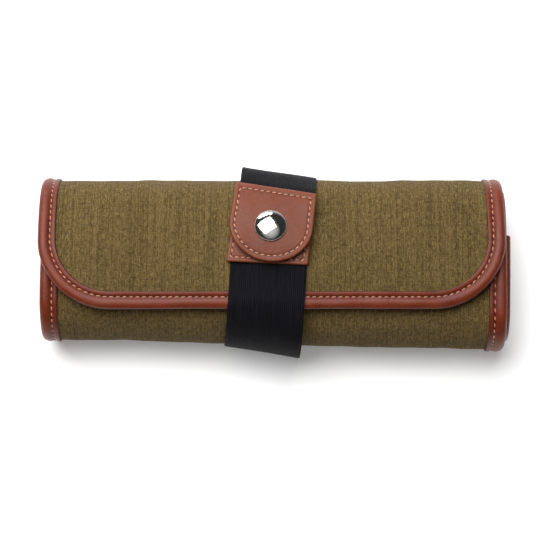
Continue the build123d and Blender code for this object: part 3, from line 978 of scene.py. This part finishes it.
def strap_piece(name, start, end, node):
    """A length of ribbed elastic, closed at both ends."""
    step, rib, selvedge, thinning = 0.7 * MM, 0.15 * MM, 0.025, 0.65
    s = np.linspace(start, end, max(4, int((end - start) / step)))
    s = np.clip(np.concatenate([[start - step], s, [end + step]]), 0, STRAP.length)
    u = np.linspace(-1, 1, RIBS * 4 + 1)
    edge = 1 - np.clip((np.abs(u) - (1 - selvedge)) / selvedge, 0, 1) ** 2 * thinning
    half = (STRAP_THICK / 2 - 0.16 * MM) * edge + rib * np.cos((u + 1) * math.pi * RIBS)
    uu, ss = np.meshgrid(u, s)
    curl = 0.25 * MM * waves(uu * STRAP_HALF, ss, 21, 40 * MM)
    outer = strap_place(uu, ss, half[None] + curl)
    inner = strap_place(uu, ss, -half[None] + curl * 0.3)
    rows, columns = uu.shape
    ring = np.concatenate([outer, inner[:, ::-1]], 1)
    longer = bpy.data.meshes.new(name)
    longer.from_pydata(ring.reshape(-1, 3).tolist(), [], grid_faces(rows, 2 * columns, close_columns=True))
    normals = np.array([v.vector for v in longer.vertex_normals]).reshape(rows, -1, 3)[1:-1]
    bpy.data.meshes.remove(longer)
    ring, uu, ss, rows = ring[1:-1], uu[1:-1], ss[1:-1], rows - 2
    uv = np.stack([np.concatenate([uu, uu[:, ::-1]], 1) * STRAP_HALF, np.concatenate([ss, ss], 1)], -1)
    faces = grid_faces(rows, 2 * columns, close_columns=True)
    for row, flip in ((0, True), (rows - 1, False)):
        for j in range(columns - 1):
            a = row * 2 * columns
            quad = (a + j, a + j + 1, a + 2 * columns - 2 - j, a + 2 * columns - 1 - j)
            faces.append(quad[::-1] if flip else quad)
    piece = mesh_piece(name, ring, faces, ELASTIC_LOOK, uv=uv, slot="elastic")
    for face in piece.data.polygons[-2 * (columns - 1):]:
        face.use_smooth = False
    piece.data.normals_split_custom_set_from_vertices(normals.reshape(-1, 3).tolist())
    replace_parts(piece, node)
    return piece


def strap_pieces():
    """The one length of elastic, cut where the joints cross it."""
    m = STRAP.marks
    tip = m["tip"] + 0.5 * MM
    front = strap_piece("elastic_front", 0, tip, "strap_front_run")
    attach(front, "flap")
    wrap = strap_piece("elastic_wrap", tip, m["back"], "strap_wrap_run")
    low, high = STRAP.at(m["back"] - 8 * MM)[0], STRAP.at(tip)[0]
    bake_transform(wrap)
    back = strap_piece("elastic_back", m["back"], m["side"], "strap_back_run")
    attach(back, "roll")
    side = strap_piece("elastic_side", m["side"], m["shoulder"], "strap_shoulder_run")
    a, b = STRAP.at(m["side"])[0], STRAP.at(m["shoulder"] - 1.0 * MM)[0]
    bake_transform(side)
    end = strap_piece("elastic_end", m["shoulder"], STRAP.length, "strap_tab_end")
    a, b = STRAP.at(m["shoulder"])[0], STRAP.at(m["shoulder"] + 14 * MM)[0]
    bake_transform(end)


strap_pieces()


# ---- leather patch and tab
def top_point(x, y, d):
    """A point over the top of the roll, at a height over the canvas."""
    s = s_of_y(y)
    p, n = SHEET.at(s)
    raised = p + n * np.asarray(d)[..., None]
    return np.stack([np.broadcast_to(x, np.shape(y)), raised[..., 0], raised[..., 1]], -1)


PER_CORNER = 6


def rounded(corners, radius, per_side):
    """A closed outline through the corners, anticlockwise, rounded, with a fixed count of points."""
    out = []
    corners = np.array(corners)
    for before, corner, after in zip(np.roll(corners, 1, 0), corners, np.roll(corners, -1, 0)):
        a = corner + (before - corner) / np.linalg.norm(before - corner) * radius
        b = corner + (after - corner) / np.linalg.norm(after - corner) * radius
        for t in np.linspace(0, 1, PER_CORNER):
            out.append((1 - t) ** 2 * a + 2 * t * (1 - t) * corner + t * t * b)
        c = after + (corner - after) / np.linalg.norm(after - corner) * radius
        out += [b + (c - b) * t for t in np.linspace(0, 1, per_side + 2)[1:-1]]
    return np.array(out)


def patch_shape(inset):
    """The patch's outline, moved inwards."""
    half, up, skew, narrower = 20.3 * MM - inset, 16.6 * MM - inset, 1.5 * MM, 0.6 * MM
    corners = [
        (-half - skew, -up), (half - skew, -up),
        (half + skew - narrower, up), (-half + skew + narrower, up),
    ]
    return rounded(corners, corner_radius(inset), 40)


def corner_radius(inset):
    """The radius of the leather's square corners, on a line inside its edge."""
    return max(1.2 * MM - inset, 0.15 * MM)


def tab_shape(inset):
    """The tab's outline about the snap, moved inwards: an elliptical foot and a square top."""
    half, top, foot = 20.8 * MM - inset, 18.6 * MM - inset, 17.6 * MM - inset
    curve = [(half * math.cos(a), foot * math.sin(a)) for a in np.linspace(math.pi, math.tau, 60)]
    low, narrower, per_side = 0.6 * MM, 0.4 * MM, 24
    corners = [(-half, low), (half, low), (half - narrower, top), (-half + narrower, top)]
    below = 2 * PER_CORNER + per_side
    return np.vstack([curve, rounded(corners, corner_radius(inset), per_side)[below:]])


def evenly(outline, step):
    """The outline again, with evenly spaced points."""
    closed = np.vstack([outline, outline[:1]])
    length = np.concatenate([[0], np.cumsum(np.hypot(*np.diff(closed, axis=0).T))])
    at = np.linspace(0, length[-1], int(length[-1] / step) + 1)[:-1]
    return np.stack([np.interp(at, length, closed[:, i]) for i in (0, 1)], 1)


def leather_piece(name, shape, centre, turn, lower, thick, node, body, seam):
    """A flat piece of leather laid over the roll: rounded edges, a stitched groove, and a cut rim.

    shape gives its outline for an inset, and lower its underside's height for a ring of points."""
    fill_rings, rim_width, groove_depth = 16, 0.75 * MM, 0.3 * MM
    c, sn = math.cos(math.radians(turn)), math.sin(math.radians(turn))
    depths = np.array([0, 0.12, 0.35, 0.75, 1.3, seam / MM - 0.5, seam / MM, seam / MM + 0.5]) * MM
    rings = [shape(a) for a in depths]
    middle = (rings[0].max(0) + rings[0].min(0)) / 2
    rings += [middle + (rings[-1] - middle) * k for k in np.linspace(0.95, 0.04, fill_rings)]
    inside = np.concatenate([depths, np.full(fill_rings, 8 * MM)])
    rim = np.clip(inside / rim_width, 0, 1)
    rise = np.sqrt(rim * (2 - rim))
    groove = bell(inside - seam, 0.4 * MM)
    count = len(rings[0])

    def lay(ring, height):
        x = centre[0] + ring[:, 0] * c - ring[:, 1] * sn
        y = centre[1] + ring[:, 0] * sn + ring[:, 1] * c
        wave = 0.12 * MM * waves(x, y, 31, 14 * MM)
        return top_point(x, y, lower(ring) + height + wave)

    levels, tone, rim_highlight, uv = [], [], [], []
    for ring, r, g, a in zip(rings[::-1], rise[::-1], groove[::-1], inside[::-1]):
        levels.append(lay(ring, thick * (0.55 + 0.45 * r) - groove_depth * g))
        # Painted shade in the stitched groove.
        tone.append(np.full(count, 0.62 * g))
        # Painted highlight: lighter along the crest of the rounded rim.
        rim_highlight.append(np.full(count, 0.35 * bell(a - 0.8 * MM, 0.45 * MM)))
        uv.append(ring)
    # The cut side wall, painted dark as shade.
    for height, dark in ((0.28, 0.85), (0.0, 0.9)):
        levels.append(lay(rings[0] if height else rings[1], thick * height))
        tone.append(np.full(count, dark))
        rim_highlight.append(np.zeros(count))
        uv.append(rings[0])
    # The underside, painted dark as shade.
    for ring in rings[4::2]:
        levels.append(lay(ring, 0))
        tone.append(np.full(count, 0.3))
        rim_highlight.append(np.zeros(count))
        uv.append(ring)
    piece = mesh_piece(
        name, np.concatenate(levels), tube_faces(len(levels), count), PATCH_LOOK, uv=np.concatenate(uv),
        values={"groove": np.concatenate(tone), "painted_highlight": np.concatenate(rim_highlight)},
        body=body, slot="patch_leather",
    )
    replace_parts(piece, node)
    line = evenly(shape(seam), STITCH_PITCH * 0.93)
    middles = lay(line, thick - 0.22 * MM)
    along = np.roll(middles, -1, 0) - np.roll(middles, 1, 0)
    y = centre[1] + line[:, 0] * sn + line[:, 1] * c
    out = place_normal(s_of_y(y))
    stitches(name + "_seam", [(middles, along, out)], body=body, width=0.36 * MM)


def patch_and_tab():
    """The patch on the flap, and the tab with its backing over it."""
    low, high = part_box("leather_patch")
    middle = ((low[0] + high[0]) / 2 + 1.0 * MM, (low[1] + high[1]) / 2 - 1.3 * MM)
    leather_piece(
        "patch", patch_shape, middle, turn=-2.6, lower=lambda ring: STRAP_THICK + 0.05 * MM,
        thick=1.5 * MM, node="leather_patch", body="flap", seam=2.3 * MM,
    )
    centre, turn = (SNAP.x + 0.3 * MM, SNAP.y), -8.0
    backing = 0.85 * MM

    def height(ring):
        """The backing's underside: level round the snap, lower at the foot and towards the strap."""
        droop = smoothstep(-6 * MM, -18 * MM, ring[:, 1])
        dip = smoothstep(9 * MM, 19 * MM, ring[:, 1])
        return 4.95 * MM - 0.9 * MM * droop - 0.5 * MM * dip

    leather_piece(
        "tab_leather", tab_shape, centre, turn, lower=lambda ring: height(ring) + backing,
        thick=1.5 * MM, node="tab_face", body="tab", seam=2.6 * MM,
    )
    leather_piece(
        "tab_under", lambda inset: tab_shape(inset + 0.35 * MM), centre, turn, lower=height,
        thick=0.8 * MM, node="tab_backing", body="tab", seam=2.3 * MM,
    )


patch_and_tab()


# ---- the snap
def lathe(name, section, look, body, node):
    """A turned piece about the snap's axis. section is (radius, height) pairs from the top down."""
    around = 96
    seat_y = SNAP.y - 0.8 * MM
    lean = math.asin((seat_y - CROWN[0]) / CROWN_RADIUS)
    axis = np.array([0, math.sin(lean), math.cos(lean)])
    origin = top_point(np.array(SNAP.x), np.array(seat_y), np.array(0.0))
    side = np.cross(axis, [1, 0, 0])
    angles = np.arange(around) * math.tau / around
    points = []
    for radius, height in section:
        for a in angles:
            spoke = math.cos(a) * np.array([1, 0, 0]) + math.sin(a) * side
            points.append(origin + axis * height + radius * spoke)
    faces = [f[::-1] for f in tube_faces(len(section), around)]
    piece = mesh_piece(name, points, faces, look, body=body, slot="snap_metal")
    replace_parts(piece, node)


def snap_pieces():
    """The domed cap with its rolled rim, and the plain metal of the other three pieces."""
    seat, under, shank = 7.25 * MM, 7.4 * MM, 1.2 * MM
    dome_radius, edge, lip, lip_height = 14.8 * MM, math.radians(31), 0.7 * MM, 0.5 * MM
    section = [
        (dome_radius * math.sin(a), dome_radius * (math.cos(a) - math.cos(edge)))
        for a in np.linspace(0.01, 1, 30) * edge
    ]
    middle = (dome_radius - lip) * math.sin(edge), -lip * math.cos(edge)
    section += [
        (middle[0] + lip * math.sin(a), middle[1] + lip * math.cos(a))
        for a in np.linspace(edge, math.radians(100), 12)[1:]
    ]
    section = [(r, seat + h + lip + lip_height) for r, h in section]
    section += [(under, seat), (shank, seat - 0.1 * MM), (shank, seat - 2.2 * MM)]
    lathe("snap_button", section, CHROME_LOOK, "tab", "snap_cap")
    for node in ("snap_socket", "snap_stud", "stud_rivet"):
        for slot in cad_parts[node].material_slots:
            slot.material = CHROME_LOOK


snap_pieces()
